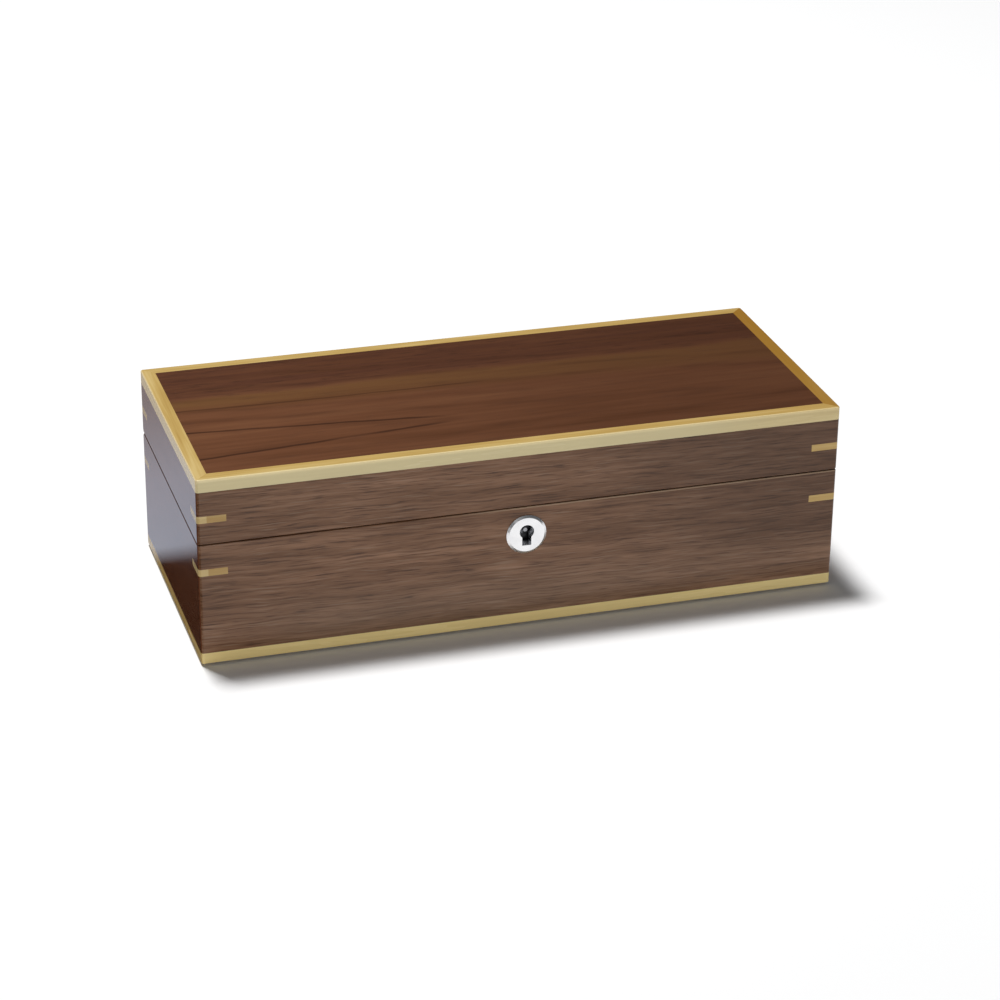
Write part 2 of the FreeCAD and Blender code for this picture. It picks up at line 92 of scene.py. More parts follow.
class Finish:
    def __init__(self, name, constants):
        self.material = bpy.data.materials.new(name)
        self.material.use_nodes = True
        self.tree = self.material.node_tree
        self.shader = self.tree.nodes["Principled BSDF"]
        for socket, value in constants.items():
            self.shader.inputs[socket].default_value = value

    def node(self, kind, settings=None, values=None, out=0):
        made = self.tree.nodes.new(kind)
        for key, value in (settings or {}).items():
            if key == "stops":
                fillRamp(made.color_ramp, value)
            else:
                setattr(made, key, value)
        for key, value in (values or {}).items():
            self.feed(made.inputs[key], value)
        return Sock(self, made.outputs[out])

    def feed(self, socket, value):
        if isinstance(value, Sock):
            self.tree.links.new(value.link, socket)
        else:
            socket.default_value = value

    def set(self, socket, value):
        self.feed(self.shader.inputs[socket], value)

    def place(self):  # x, y and z on the piece, in metres
        coords = self.node("ShaderNodeTexCoord", out="Object")
        split = self.node("ShaderNodeSeparateXYZ", values={0: coords}).link.node
        return [Sock(self, split.outputs[i]) for i in range(3)]

    def vector(self, x, y, z):
        return self.node("ShaderNodeCombineXYZ", values={0: x, 1: y, 2: z})

    def noise(self, vector, detail=2.0, roughness=0.5, scale=1.0):
        values = {"Vector": vector, "Scale": scale, "Detail": detail, "Roughness": roughness}
        return self.node("ShaderNodeTexNoise", values=values)

    def ramp(self, value, stops):
        return self.node("ShaderNodeValToRGB", {"stops": stops}, {0: value})

    def mix(self, share, first, second):
        return self.node("ShaderNodeMix", {"data_type": "RGBA"}, {0: share, 6: first, 7: second}, 2)

    def bump(self, height, strength, distance):
        values = {"Height": height, "Strength": strength, "Distance": distance}
        self.set("Normal", self.node("ShaderNodeBump", values=values))


def fillRamp(ramp, stops):
    while len(ramp.elements) > 1:
        ramp.elements.remove(ramp.elements[-1])
    for index, (position, colour) in enumerate(stops):
        element = ramp.elements[0] if index == 0 else ramp.elements.new(position)
        element.position = position
        element.color = colour


def tint(code):  # a colour code as linear light
    parts = [int(code[i:i + 2], 16) / 255 for i in (1, 3, 5)]
    linear = [p / 12.92 if p <= 0.04045 else ((p + 0.055) / 1.055) ** 2.4 for p in parts]
    return (*linear, 1.0)


def stopsOf(look, *keys):  # a look's colours at its tonesAt places
    return [(place, tint(look[key])) for place, key in zip(look["tonesAt"], keys)]


def fibres(finish, u, v, w, length, width, detail, roughness):  # marks drawn out along u
    return finish.noise(finish.vector(u / length, v / width, w / width), detail, roughness)


# walnut veneer under satin lacquer
# broad, fibre, dash and fine hold the length and width of their marks, detail and roughness

walnutLook = {
    "dark": "#573821",
    "middle": "#72513A",
    "light": "#89664E",
    "tonesAt": (0.3, 0.5, 0.68),
    "pore": "#301A0E",
    "flake": "#957D69",
    "frontIor": 1.38,
    "sideIor": 1.5,
    "swayCell": (0.030, 0.02, 0.012),
    "sway": 0.0026,
    "slant": 0.02,
    "broad": (0.14, 0.012, 2.0, 0.55),
    "fibre": (0.048, 0.0023, 3.0, 0.55),
    "dash": (0.0240, 0.00095, 2.0, 0.6),
    "fine": (0.0108, 0.00057, 1.0, 0.55),
    "fineShift": 0.3,
    "broadShare": 0.4,
    "dashRange": (0.52, 0.67),
    "dashShare": 0.50,
    "fineRange": (0.55, 0.69),
    "fineShare": 0.38,
    "flakeRange": (0.54, 0.74),
    "flakeShare": 0.36,
    "sidePaintedShade": "#522206",  # painted shade: the side walls are darker and redder
    "sidePaintedShadeShare": 0.75,
    "roughness": (0.2, 0.03),  # and what the pores add
    "fibreRelief": 0.3,
    "relief": (0.04, 0.0002),
}

frontLook = {
    "shade": "#2A1505",  # the front walls darken to the right
    "rightRange": (-0.02, 0.14),
    "rightShare": 0.42,
    "leftRange": (-0.16, -0.10),
    "leftShare": 0.08,
    "allShare": 0.01,
    "seamRange": (0.0, 0.0004),
    "lidShare": 0.06,  # the lid's wall is a little darker
    "foot": "#8A7460",  # painted light: the base's wall is paler along its foot
    "footRange": (0.012, 0.040),
    "footPaintedLightFrom": (-0.15, -0.09),
    "footPaintedLightShare": 0.24,
    "footPaintedLightLoss": 0.6,  # less so to the right
    "rim": "#A58C74",  # a painted highlight: a pale line under the seam, on the outer face only
    "rimWidth": 0.0008,
    "rimLow": (0.0, 0.0003),
    "rimHigh": (0.0, 0.0002),
    "rimDepth": (0.0002, 0.0006),
    "rimFrom": (-0.06, 0.0),
    "rimHighlightShare": 0.75,
}


def woodAxes(finish, along):  # along the grain, across it, and up
    x, y, z = finish.place()
    return (x, y, z) if along == "x" else (y, x, z)


def frontTones(finish, colour, u, v, height):
    look = frontLook
    low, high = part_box("base_front_wall")
    foot = 1 - height.step(*look["footRange"])
    right = u.step(*look["rightRange"])
    left = 1 - u.step(*look["leftRange"])
    above = height - high.z
    upper = above.step(*look["seamRange"]) * look["lidShare"]
    shade = right * look["rightShare"] + left * look["leftShare"] + upper + look["allShare"]
    colour = finish.mix(shade * (1 - foot), colour, tint(look["shade"]))
    # painted light along the base's foot, less so to the right
    pale = foot * u.step(*look["footPaintedLightFrom"]) * (1 - right * look["footPaintedLightLoss"])
    colour = finish.mix(pale * look["footPaintedLightShare"], colour, tint(look["foot"]))
    # painted highlight: a pale line under the seam
    line = (above + look["rimWidth"]).step(*look["rimLow"]) * (1 - above.step(*look["rimHigh"]))
    line = line * (1 - (v - low.y).step(*look["rimDepth"])) * u.step(*look["rimFrom"])
    return finish.mix(line * look["rimHighlightShare"], colour, tint(look["rim"]))


def walnutWall(name, along):
    look = walnutLook
    finish = Finish(name, {"IOR": look["frontIor"] if along == "x" else look["sideIor"]})
    u, v, height = woodAxes(finish, along)
    cell = look["swayCell"]
    sway = finish.noise(finish.vector(u / cell[0], v / cell[1], height / cell[2])) - 0.5
    w = height + sway * look["sway"] + u * look["slant"]
    broad = fibres(finish, u, v, w, *look["broad"])
    fibre = fibres(finish, u, v, w, *look["fibre"])
    dash = fibres(finish, u, v, w, *look["dash"])
    fine = fibres(finish, u, v + look["fineShift"], w, *look["fine"])
    tone = broad * look["broadShare"] + fibre * (1 - look["broadShare"])
    colour = finish.ramp(tone, stopsOf(look, "dark", "middle", "light"))
    pores = dash.step(*look["dashRange"]) * look["dashShare"]
    pores = pores + fine.step(*look["fineRange"]) * look["fineShare"]
    colour = finish.mix(pores, colour, tint(look["pore"]))
    flakes = (1 - dash).step(*look["flakeRange"]) * look["flakeShare"]
    colour = finish.mix(flakes, colour, tint(look["flake"]))
    if along == "x":
        colour = frontTones(finish, colour, u, v, height)
    else:
        # painted shade: the side walls get a darker, redder colour
        colour = finish.mix(look["sidePaintedShadeShare"], colour, tint(look["sidePaintedShade"]))
    finish.set("Base Color", colour)
    finish.set("Roughness", pores.scaled(*look["roughness"]))
    finish.bump(fibre * look["fibreRelief"] - pores, *look["relief"])
    return finish.material


# the lid's leaf: a pointed figure at the left, an olive band, a dark back

lidLook = {
    "dark": "#5A3721",
    "middle": "#6A432C",
    "light": "#754D33",
    "tonesAt": (0.32, 0.5, 0.68),
    "ior": 1.5,
    "broad": (0.24, 0.018, 2.0, 0.55),
    "fibre": (0.060, 0.0030, 3.0, 0.55),
    "dash": (0.012, 0.0012, 2.0, 0.6),
    "broadShare": 0.6,
    "slow": (0.10, 0.04, 0.0, 1.0),  # drifts: length, width, layer of the noise, detail
    "quick": (0.022, 0.010, 3.0, 2.0),
    "fade": (0.05, 0.012, 7.0, 2.0),
    "heartAcross": -0.0305,  # the line that the pointed figure lies along
    "heartDepth": 0.0035,
    "heartWobble": 0.0022,
    "taper": 0.090,
    "ringSpacing": 0.0135,
    "ringDrift": 0.010,
    "ringPower": 4.0,
    "ringFade": (0.36, 0.64),
    "ringShare": 0.30,
    "tongueAt": 0.0022,
    "tongueWidth": (0.0002, 0.0014),
    "tongueEnd": (-0.045, -0.020),
    "tongueFade": (0.25, 0.5),
    "tongueShare": (0.4, 0.5),
    "lineAcross": 0.0090,
    "lineSlant": 0.012,
    "lineWobble": 0.002,
    "lineDrift": 0.004,
    "lineWidth": (0.0002, 0.0013),
    "lineEnd": (-0.02, 0.020),
    "lineShare": 0.55,
    "lineColour": "#3A2114",
    "bandDrift": 0.010,
    "bandWobble": 0.0025,
    "bandSlant": -0.035,
    "bandLow": 0.006,
    "bandLowBlur": (-0.006, 0.008),
    "bandHigh": 0.025,
    "bandHighBlur": (-0.003, 0.003),
    "bandTone": (0.35, 0.6),
    "bandShare": (0.45, 0.3),
    "bandColour": "#6E4C2B",
    "backBlur": (-0.002, 0.005),
    "backFibre": (0.35, 0.65),
    "backShare": (0.35, 0.5),
    "backColour": "#4F2F22",
    "rightRange": (-0.16, 0.15),
    "rightShare": 0.46,
    "poreRange": (0.54, 0.74),
    "poreShare": (0.20, 0.45),  # and what the dark back adds
    "roughness": (0.28, 0.06),
    "fibreRelief": 0.25,
    "relief": (0.08, 0.0002),
}


def walnutLid(name):
    look = lidLook
    finish = Finish(name, {"IOR": look["ior"]})
    u, v, w = woodAxes(finish, "x")

    def drift(length, width, layer, detail):
        return finish.noise(finish.vector(u / length, v / width, layer), detail)

    slow = drift(*look["slow"]) - 0.5
    quick = drift(*look["quick"]) - 0.5
    fade = drift(*look["fade"])
    across = v - look["heartAcross"] + quick * look["heartWobble"]
    ring = (across * across + look["heartDepth"] ** 2).sqrt() + u * look["taper"]
    turns = (ring + slow * look["ringDrift"]) * (2 * math.pi / look["ringSpacing"])
    wave = turns.cosine().scaled(0.5, 0.5)
    rings = wave ** look["ringPower"] * fade.step(*look["ringFade"]) * look["ringShare"]
    tongue = 1 - (ring - look["tongueAt"]).absolute().step(*look["tongueWidth"])
    tongue = tongue * (1 - u.step(*look["tongueEnd"]))
    tongue = tongue * fade.step(*look["tongueFade"]).scaled(*look["tongueShare"])
    line = v - look["lineAcross"] + u * look["lineSlant"]
    line = line + quick * look["lineWobble"] + slow * look["lineDrift"]
    line = 1 - line.absolute().step(*look["lineWidth"])
    line = line * (1 - u.step(*look["lineEnd"])) * look["lineShare"]

    broad = fibres(finish, u, v, w, *look["broad"])
    fibre = fibres(finish, u, v, w, *look["fibre"])
    dash = fibres(finish, u, v, w, *look["dash"])
    tone = broad * look["broadShare"] + fibre * (1 - look["broadShare"])
    colour = finish.ramp(tone, stopsOf(look, "dark", "middle", "light"))
    edge = v + slow * look["bandDrift"] + quick * look["bandWobble"]
    beyond = edge - look["bandHigh"]
    band = (edge - u.scaled(look["bandLow"], look["bandSlant"])).step(*look["bandLowBlur"])
    band = band * (1 - beyond.step(*look["bandHighBlur"]))
    share = tone.step(*look["bandTone"]).scaled(*look["bandShare"])
    colour = finish.mix(band * share, colour, tint(look["bandColour"]))
    back = beyond.step(*look["backBlur"])
    share = fibre.step(*look["backFibre"]).scaled(*look["backShare"])
    colour = finish.mix(back * share, colour, tint(look["backColour"]))
    right = u.step(*look["rightRange"]) * look["rightShare"]
    colour = finish.mix(right, colour, tint(look["lineColour"]))
    lines = rings.math("MAXIMUM", tongue).math("MAXIMUM", line)
    colour = finish.mix(lines, colour, tint(look["lineColour"]))
    pores = dash.step(*look["poreRange"])
    colour = finish.mix(pores * back.scaled(*look["poreShare"]), colour, tint(walnutLook["pore"]))
    finish.set("Base Color", colour)
    finish.set("Roughness", pores.scaled(*look["roughness"]))
    finish.bump(fibre * look["fibreRelief"] - pores, *look["relief"])
    return finish.material


# pale edging and keys

mapleLook = {
    "dark": "#B18F4F",
    "middle": "#C1A260",
    "light": "#D0B577",
    "tonesAt": (0.32, 0.5, 0.66),
    "ior": 1.5,
    "broad": (0.06, 0.007, 2.0, 0.55),
    "fibre": (0.035, 0.0011, 3.0, 0.55),
    "flecks": (0.004, 0.0007, 1.0, 0.55),
    "broadShare": 0.6,
    "fleckRange": (0.6, 0.78),
    "fleckShare": 0.1,
    "fleck": "#A87F42",
    "pale": "#C9BF97",
    "roughness": (0.24, 0.06),
    "relief": (0.012, 0.0002),
}

keyLook = {
    "dark": "#8C6A35",
    "darkShare": 0.62,
    "split": (0.0044, 0.0050),  # the left keys are paler near the corner
    "outerLoss": 0.32,
    "outerPale": 0.25,
    "rightRange": (0.0, 0.01),
    "rightLoss": 0.37,
}

longLook = {
    "faceDepth": (0.0003, 0.0009),
    "lidRange": (0.03, 0.07),
    "rightRange": (-0.10, 0.14),
    "rightDark": 0.45,  # the lid's top face darkens to the right
    "paleShare": 0.75,  # and its front face is paler
    "paleEnd": (0.07, 0.15),
    "paleLoss": 0.28,
    "edge": "#FFE8B0",  # a painted highlight: a pale line along the lid's front edge
    "edgeDepth": (0.0002, 0.0009),
    "edgeRange": (-0.0019, -0.0004),
    "edgeHighlightShare": (0.38, -0.08),
    "foot": "#F1DC9C",  # painted light: the base's front face is paler still
    "footRange": (0.0, 0.13),
    "footPaintedLightShare": (0.6, 0.15),
}

crossLook = {
    "amber": "#966A21",  # the right strips are more orange
    "amberRange": (0.0, 0.05),
    "amberBack": (-0.06, 0.06),
    "amberShare": (0.80, 0.12),
    "cream": "#E6D3A6",  # painted highlight: the left face of the lid's strip is paler
    "faceDepth": (0.0002, 0.0008),
    "lidRange": (0.05, 0.07),
    "creamHighlightShare": 0.8,
}

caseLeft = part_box("lid_edging_left")[0].x
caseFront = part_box("lid_edging_front")[0].y
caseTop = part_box("lid_edging_front")[1].z


def keyTones(finish, colour, x, y, z):
    look = keyLook
    outer = 1 - (x - caseLeft).step(*look["split"])
    share = look["darkShare"] - outer * look["outerLoss"]
    share = share - x.step(*look["rightRange"]) * look["rightLoss"]
    colour = finish.mix(share, colour, tint(look["dark"]))
    return finish.mix(outer * look["outerPale"], colour, tint(mapleLook["pale"]))


def longTones(finish, colour, x, y, z):
    look = longLook
    depth = y - caseFront
    face = 1 - depth.step(*look["faceDepth"])
    lid = z.step(*look["lidRange"])
    right = x.step(*look["rightRange"])
    dark = (1 - face) * lid * right * look["rightDark"]
    colour = finish.mix(dark, colour, tint(mapleLook["dark"]))
    pale = face * lid * (look["paleShare"] - x.step(*look["paleEnd"]) * look["paleLoss"])
    colour = finish.mix(pale, colour, tint(mapleLook["pale"]))
    # painted highlight along the lid's front edge, fainter to the right
    edge = (1 - depth.step(*look["edgeDepth"])) * (z - caseTop).step(*look["edgeRange"])
    colour = finish.mix(edge * right.scaled(*look["edgeHighlightShare"]), colour, tint(look["edge"]))
    # painted light on the base's front face
    foot = face * (1 - lid) * x.step(*look["footRange"]).scaled(*look["footPaintedLightShare"])
    return finish.mix(foot, colour, tint(look["foot"]))


def crossTones(finish, colour, x, y, z):
    look = crossLook
    amber = x.step(*look["amberRange"]) * y.step(*look["amberBack"]).scaled(*look["amberShare"])
    colour = finish.mix(amber, colour, tint(look["amber"]))
    # painted highlight on the left face of the lid's strip
    face = (1 - (x - caseLeft).step(*look["faceDepth"])) * z.step(*look["lidRange"])
    return finish.mix(face * look["creamHighlightShare"], colour, tint(look["cream"]))


def maple(name, along, tones):
    look = mapleLook
    finish = Finish(name, {"IOR": look["ior"]})
    u, v, w = woodAxes(finish, along)
    broad = fibres(finish, u, v, w, *look["broad"])
    fibre = fibres(finish, u, v, w, *look["fibre"])
    flecks = fibres(finish, u, v, w, *look["flecks"])
    tone = broad * look["broadShare"] + fibre * (1 - look["broadShare"])
    colour = finish.ramp(tone, stopsOf(look, "dark", "middle", "light"))
    flecks = flecks.step(*look["fleckRange"]) * look["fleckShare"]
    colour = finish.mix(flecks, colour, tint(look["fleck"]))
    finish.set("Base Color", tones(finish, colour, *finish.place()))
    finish.set("Roughness", broad.scaled(*look["roughness"]))
    finish.bump(fibre, *look["relief"])
    return finish.material


# bare board, felt and thread: two colours over one noise

plainLooks = {
    "board": {
        "shader": {"IOR": 1.45},
        "noise": (4.0, 0.6, 900.0),  # detail, roughness, scale
        "dark": "#6B5238",
        "light": "#927554",
        "tonesAt": (0.3, 0.7),
        "roughness": (0.6, 0.2),
        "relief": (0.2, 0.0003),
    },
    "felt": {
        "shader": {"Sheen Weight": 0.25, "Sheen Roughness": 0.5},
        "noise": (5.0, 0.7, 700.0),
        "dark": "#15130F",
        "light": "#37322B",
        "tonesAt": (0.3, 0.75),
        "roughness": (0.9, 0.08),
        "relief": (0.6, 0.0006),
    },
    "thread": {
        "shader": {"Sheen Weight": 0.3},
        "noise": (1.0, 0.5, 3000.0),
        "dark": "#A8967A",
        "light": "#C8B79B",
        "tonesAt": (0.3, 0.7),
        "roughness": (0.7, 0.1),
        "relief": (0.3, 0.0002),
    },
}


def plain(name):
    look = plainLooks[name]
    finish = Finish(name, look["shader"])
    marks = finish.noise(finish.vector(*finish.place()), *look["noise"])
    finish.set("Base Color", finish.ramp(marks, stopsOf(look, "dark", "light")))
    finish.set("Roughness", marks.scaled(*look["roughness"]))
    finish.bump(marks, *look["relief"])
    return finish.material


# velvet, brushed along x

velvetLook = {
    "shader": {"Sheen Weight": 0.5, "Sheen Roughness": 0.35, "Sheen Tint": tint("#F3E9D8")},
    "nap": (0.05, 0.014, 2.0, 0.45),  # length and width of its marks, detail, roughness
    "napShare": 0.3,
    "pile": (2.0, 0.7, 2400.0),  # detail, roughness, scale
    "tonesAt": (0.3, 0.7),
    "roughness": (0.86, 0.1),
    "napRelief": 0.2,
    "relief": (0.35, 0.0005),
}

velvets = {
    "velvet": {"dark": "#A8926F", "light": "#CDBA9A"},
    "cushionVelvet": {"dark": "#AE9976", "light": "#D3C1A2"},
}


def velvet(name):
    look = {**velvetLook, **velvets[name]}
    finish = Finish(name, look["shader"])
    x, y, z = finish.place()
    nap = fibres(finish, x, y, z, *look["nap"])
    pile = finish.noise(finish.vector(x, y, z), *look["pile"])
    tone = nap * look["napShare"] + pile * (1 - look["napShare"])
    finish.set("Base Color", finish.ramp(tone, stopsOf(look, "dark", "light")))
    finish.set("Roughness", pile.scaled(*look["roughness"]))
    finish.bump(pile + nap * look["napRelief"], *look["relief"])
    return finish.material


# metal

metalLook = {
    "brush": (0.006, 0.0004, 2.0, 0.5),  # length and width of its marks, detail, roughness
    "brushShare": 0.5,
    "haze": (2.0, 0.5, 120.0),  # detail, roughness, scale
    "tonesAt": (0.3, 0.7),
    "relief": (0.006, 0.0001),
}

metals = {
    "polished": {"dark": "#E4E4E6", "light": "#F2F2F3", "roughness": 0.20, "wear": 0.04},
    "plated": {"dark": "#C4C3BF", "light": "#D6D5D1", "roughness": 0.20, "wear": 0.06},
    "steel": {"dark": "#84858A", "light": "#A6A7AB", "roughness": 0.26, "wear": 0.14},
}


def metal(name):
    look = {**metalLook, **metals[name]}
    finish = Finish(name, {"Metallic": 1.0})
    x, y, z = finish.place()
    brush = fibres(finish, x, y, z, *look["brush"])
    haze = finish.noise(finish.vector(x, y, z), *look["haze"])
    wear = brush * look["brushShare"] + haze
    finish.set("Base Color", finish.ramp(haze, stopsOf(look, "dark", "light")))
    finish.set("Roughness", wear.scaled(look["roughness"], look["wear"]))
    finish.bump(brush, *look["relief"])
    return finish.material


finishes = {
    "walnutLong": walnutWall("walnutLong", "x"),
    "walnutCross": walnutWall("walnutCross", "y"),
    "walnutLid": walnutLid("walnutLid"),
    "mapleLong": maple("mapleLong", "x", longTones),
    "mapleCross": maple("mapleCross", "y", crossTones),
    "mapleKey": maple("mapleKey", "x", keyTones),
    **{name: plain(name) for name in plainLooks},
    **{name: velvet(name) for name in velvets},
    **{name: metal(name) for name in metals},
}


def finishOf(name):
    lengthways = name.endswith(("front", "back", "front_wall", "back_wall"))
    if name == "lid_panel":
        return "walnutLid"
    if name.endswith("_wall"):
        return "walnutLong" if lengthways else "walnutCross"
    if "edging" in name:
        return "mapleLong" if lengthways else "mapleCross"
    if name.endswith("corner_keys"):
        return "mapleKey"
    if name == "base_bottom_panel":
        return "board"
    if "lining" in name or name.startswith("divider"):
        return "velvet"
    if name == "keyhole_escutcheon":
        return "polished"
    if name.endswith(("leaf", "screws")) or name == "lock_strike":
        return "plated"
    return "steel"


for name, node in nodes.items():
    node.data.materials.clear()
    node.data.materials.append(finishes[finishOf(name)])
print("finishes made:", len(finishes))


# helpers for new pieces

def addPiece(name, mesh):
    piece = bpy.data.objects.new(name, mesh)
    bpy.context.scene.collection.objects.link(piece)
    return piece


def meshFrom(name, points, faces):
    mesh = bpy.data.meshes.new(name)
    mesh.from_pydata(points, [], faces)
    work = bmesh.new()
    work.from_mesh(mesh)
    bmesh.ops.recalc_face_normals(work, faces=work.faces)
    work.to_mesh(mesh)
    work.free()
    return mesh


def ringFaces(rings, count):  # quads between rings of points, each of count points
    faces = []
    for ring in range(rings - 1):
        for i in range(count):
            a, b = ring * count + i, ring * count + (i + 1) % count
            faces.append((a, b, b + count, a + count))
    return faces


def smooth(mesh):
    mesh.polygons.foreach_set("use_smooth", [True] * len(mesh.polygons))


def applied(piece):  # the piece with its modifiers baked in
    graph = bpy.context.evaluated_depsgraph_get()
    mesh = bpy.data.meshes.new_from_object(piece.evaluated_get(graph))
    old = piece.data
    piece.modifiers.clear()
    piece.data = mesh
    bpy.data.meshes.remove(old)
    return piece


def subdivided(piece):
    rounder = piece.modifiers.new("rounder", "SUBSURF")
    rounder.levels = 1
    rounder.render_levels = 1
    return applied(piece)


# cloth simulation

simLook = {
    "scale": 10.0,  # cloth behaves better at ten times its size
    "frames": 20,
    "cloth": {
        "quality": 6,
        "mass": 0.25,
        "tension_stiffness": 12,
        "compression_stiffness": 12,
        "shear_stiffness": 4,
        "bending_stiffness": 0.35,
        "vertex_group_mass": "sewn",
        "use_pressure": True,
    },
}


def inflated(piece, pinned, look):
    # blows the cover up against its sewn lines; no point moves further than cap
    start = [v.co.copy() for v in piece.data.vertices]
    piece.data.transform(Matrix.Scale(simLook["scale"], 4))
    group = piece.vertex_groups.new(name=simLook["cloth"]["vertex_group_mass"])
    group.add(pinned, 1.0, "REPLACE")
    cover = piece.modifiers.new("cover", "CLOTH")
    for key, value in simLook["cloth"].items():
        setattr(cover.settings, key, value)
    cover.settings.uniform_pressure_force = look["pressure"]
    cover.settings.shrink_min = -look["slack"]
    cover.settings.effector_weights.gravity = 0.0
    cover.point_cache.frame_start = 1
    cover.point_cache.frame_end = simLook["frames"]
    scene = bpy.context.scene
    for step in range(1, simLook["frames"] + 1):
        scene.frame_set(step)
    applied(piece)
    scene.frame_set(1)
    piece.vertex_groups.clear()
    for vertex, home in zip(piece.data.vertices, start):
        move = vertex.co / simLook["scale"] - home
        if move.length > look["cap"]:
            move *= look["cap"] / move.length
        vertex.co = home + move


def calmed(mesh, chosen, rounds):  # evens out creases, along x only
    work = bmesh.new()
    work.from_mesh(mesh)
    work.verts.ensure_lookup_table()
    verts = [work.verts[i] for i in chosen]
    axes = {"use_axis_x": True, "use_axis_y": False, "use_axis_z": False}
    for step in range(rounds):
        bmesh.ops.smooth_vert(work, verts=verts, factor=0.5, **axes)
    work.to_mesh(mesh)
    work.free()


# piping along closed lines, with rows of stitches on the cloth beside it

sewingLook = {
    "Piping Radius": 0.0011,
    "Stitch Spacing": 0.0032,
    "Stitch Length": 0.0021,
    "Stitch Radius": 0.0003,
}
roundSides = 8  # sides of the piping and of a stitch


def sewingTree():
    tree = bpy.data.node_groups.new("pipingAndStitches", "GeometryNodeTree")
    face = tree.interface
    face.new_socket("Geometry", in_out="INPUT", socket_type="NodeSocketGeometry")
    face.new_socket("Geometry", in_out="OUTPUT", socket_type="NodeSocketGeometry")
    for label in sewingLook:
        face.new_socket(label, in_out="INPUT", socket_type="NodeSocketFloat")
    for label in ("Cloth", "Thread"):
        face.new_socket(label, in_out="INPUT", socket_type="NodeSocketMaterial")

    def add(kind, values=None, settings=None):
        made = tree.nodes.new(kind)
        for key, value in (settings or {}).items():
            setattr(made, key, value)
        for key, value in (values or {}).items():
            if isinstance(value, bpy.types.NodeSocket):
                tree.links.new(value, made.inputs[key])
            else:
                made.inputs[key].default_value = value
        return made.outputs

    given = add("NodeGroupInput")
    isRow = add("GeometryNodeInputNamedAttribute", {"Name": "stitchRow"}, {"data_type": "BOOLEAN"})
    parts = add("GeometryNodeSeparateGeometry", {0: given["Geometry"], 1: isRow["Attribute"]})

    seam = add("GeometryNodeMeshToCurve", {0: parts["Inverted"]})
    size = {"Resolution": roundSides, "Radius": given["Piping Radius"]}
    ring = add("GeometryNodeCurvePrimitiveCircle", size)
    cord = add("GeometryNodeCurveToMesh", {"Curve": seam[0], "Profile Curve": ring[0]})
    cord = add("GeometryNodeSetShadeSmooth", {0: cord[0]})
    cord = add("GeometryNodeSetMaterial", {0: cord[0], "Material": given["Cloth"]})

    row = add("GeometryNodeMeshToCurve", {0: parts["Selection"]})
    spacing = {0: row[0], "Length": given["Stitch Spacing"]}
    spots = add("GeometryNodeCurveToPoints", spacing, {"mode": "LENGTH"})
    size = {"Vertices": roundSides, "Radius": given["Stitch Radius"], "Depth": given["Stitch Length"]}
    stitch = add("GeometryNodeMeshCylinder", size)
    placed = {"Points": spots[0], "Instance": stitch[0], "Rotation": spots["Rotation"]}
    stitches = add("GeometryNodeInstanceOnPoints", placed)
    stitches = add("GeometryNodeRealizeInstances", {0: stitches[0]})
    stitches = add("GeometryNodeSetMaterial", {0: stitches[0], "Material": given["Thread"]})

    both = tree.nodes.new("GeometryNodeJoinGeometry")
    for part in (stitches, cord):
        tree.links.new(part[0], both.inputs[0])
    add("NodeGroupOutput", {0: both.outputs[0]})
    return tree


sewingNodes = sewingTree()


def sewing(name, seams, rows, cloth):
    points, edges, isRow = [], [], []
    for loops, stitched in ((seams, False), (rows, True)):
        for loop in loops:
            first, count = len(points), len(loop)
            points += [tuple(p) for p in loop]
            edges += [(first + i, first + (i + 1) % count) for i in range(count)]
            isRow += [stitched] * count
    mesh = bpy.data.meshes.new(name)
    mesh.from_pydata(points, edges, [])
    mesh.attributes.new("stitchRow", "BOOLEAN", "POINT").data.foreach_set("value", isRow)
    piece = addPiece(name, mesh)
    maker = piece.modifiers.new("sewing", "NODES")
    maker.node_group = sewingNodes
    inputs = [s for s in sewingNodes.interface.items_tree if s.in_out == "INPUT"]
    sockets = {s.name: s.identifier for s in inputs}
    settings = {**sewingLook, "Cloth": cloth, "Thread": finishes["thread"]}
    for label, value in settings.items():
        maker[sockets[label]] = value
    return applied(piece)


# watch cushions: a velvet wrap with a panel sewn into each end

cushionLook = {
    "count": 5,
    "around": 120,
    "alongWrap": 30,
    "alongEnd": 10,
    "seamShare": 0.80,  # where the end panels are sewn in, as a share of the half width
    "endShare": 0.90,  # the end panels' size, as a share of the middle's
    "wrapPower": 4,
    "startShare": 0.955,  # starts smaller than the solid, and swells
    "bulge": 0.0022,
    "flatFoot": 0.93,
    "roundAcross": 0.72,
    "roundUp": 0.80,
    "stitchRing": 2,  # rings between the piping and the stitches
    "pressure": 5.0,
    "cap": 0.0045,
    "slack": 0.05,
    "clear": 0.0007,
    "floorGap": 0.0003,
    "standing": 0.0004,  # what is lower than this above the foot stays on the floor
    "calmRings": 6,  # inner rings of the end panels, where creases would meet in a point
    "calmRounds": 12,
}


def cushionOutline(look):  # round the cushion: share of the half depth, share of the height
    outline = []
    for index in range(look["around"]):
        angle = 2 * math.pi * index / look["around"] - math.pi / 2
        c, s = math.cos(angle), math.sin(angle)
        across = math.copysign(abs(c) ** look["roundAcross"], c)
        up = max(math.copysign(abs(s) ** look["roundUp"], s), -look["flatFoot"])
        outline.append((across, (up + look["flatFoot"]) / (1 + look["flatFoot"])))
    return outline


def cushionRings(look, half):  # along the cushion: place, size, and rise of the foot
    seam, end = half * look["seamShare"], look["endShare"]
    panel, wrap = [], []
    for step in range(1, look["alongEnd"]):
        share = step / look["alongEnd"]
        panel.append((-seam - look["bulge"] * (1 - share ** 2), end * share, end * (1 - share) / 2))
    for step in range(look["alongWrap"] + 1):
        along = 2 * step / look["alongWrap"] - 1
        wrap.append((along * seam, end + (1 - end) * (1 - along ** look["wrapPower"]), 0.0))
    return panel + wrap + [(-x, share, rise) for x, share, rise in reversed(panel)]


